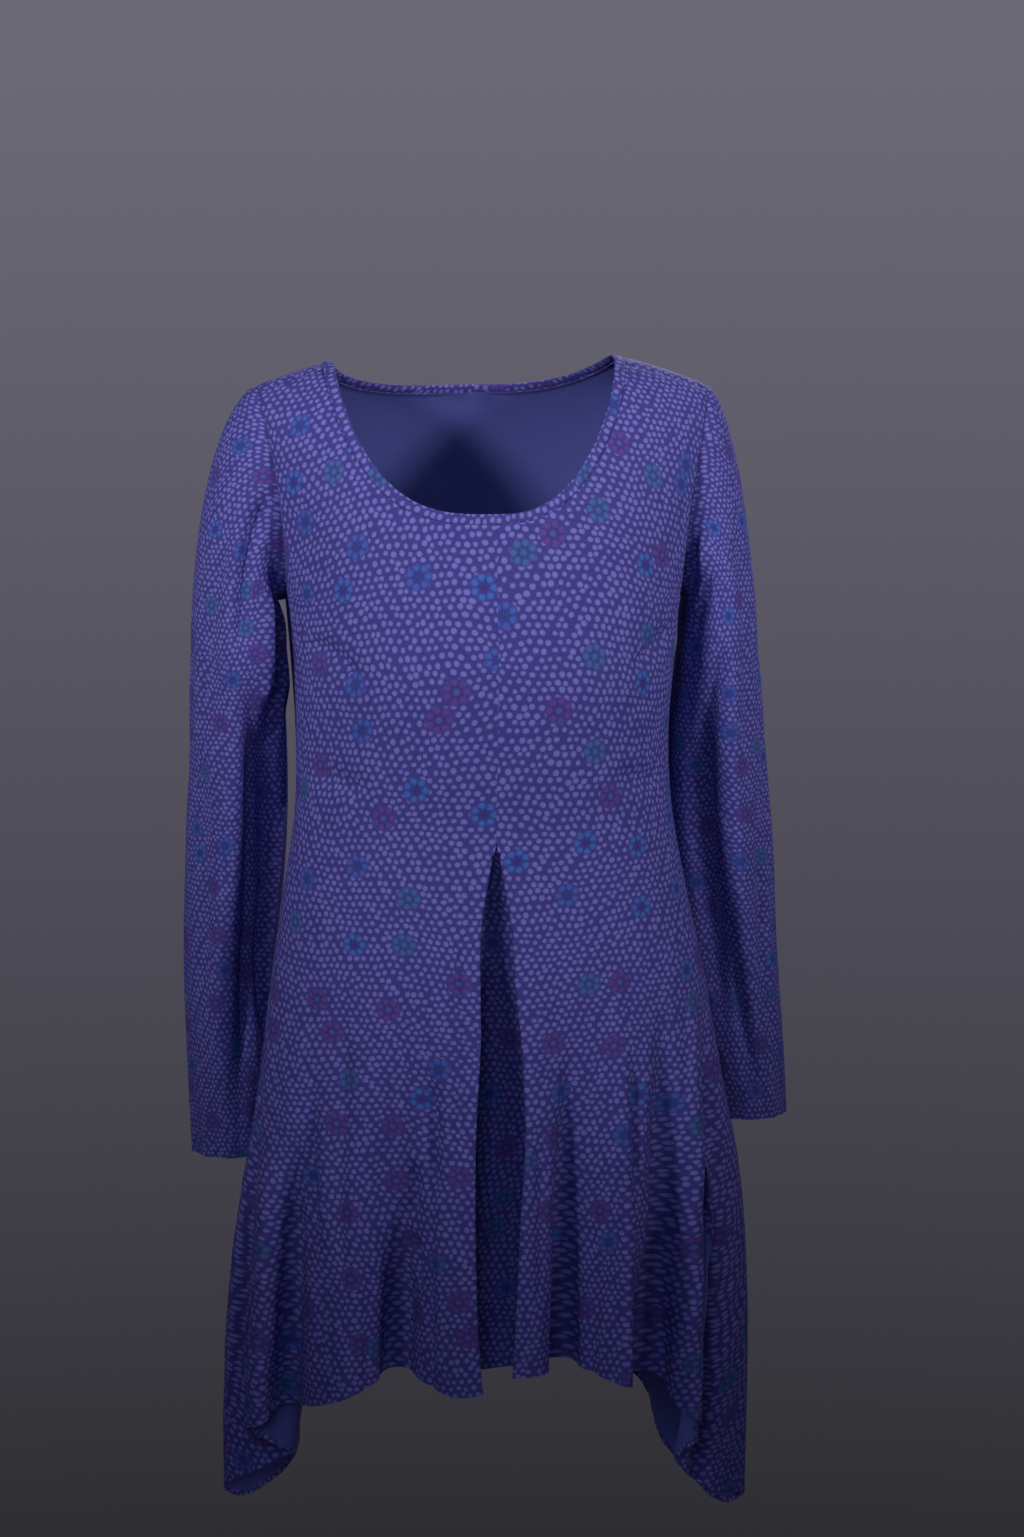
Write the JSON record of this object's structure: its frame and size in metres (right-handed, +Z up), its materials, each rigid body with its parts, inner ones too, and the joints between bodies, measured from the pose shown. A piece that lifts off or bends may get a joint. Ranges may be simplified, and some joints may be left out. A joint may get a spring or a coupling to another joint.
{
  "type": "long-sleeved jersey dress",
  "caption": "Knee-length jersey dress, worn shape: scoop neck, long set-in sleeves, front inverted pleat and a hem that drops to folded points at the sides.",
  "frame": {"origin": "between the neck ends of the shoulders, on the plane of the centre-front seam, where the wearer's shoulders hold the dress", "axes": "+Z up along the dress, -Y to its front, +X to the wearer's left"},
  "size_m": [0.5204, 0.2785, 0.9982],
  "materials": {
    "front_left": "matt viscose jersey, printed",
    "front_right": "matt viscose jersey, printed",
    "back": "matt viscose jersey, printed",
    "pleat_underlay": "matt viscose jersey, printed",
    "neckband": "matt viscose jersey, folded double",
    "sleeve_left": "matt viscose jersey, printed",
    "sleeve_right": "matt viscose jersey, printed"
  },
  "bodies": {
    "root": {"front_left": "front_left", "front_right": "front_right", "back": "back", "pleat_underlay": "pleat_underlay", "neckband": "neckband", "sleeve_left": "sleeve_left", "sleeve_right": "sleeve_right"}
  },
  "joints": []
}
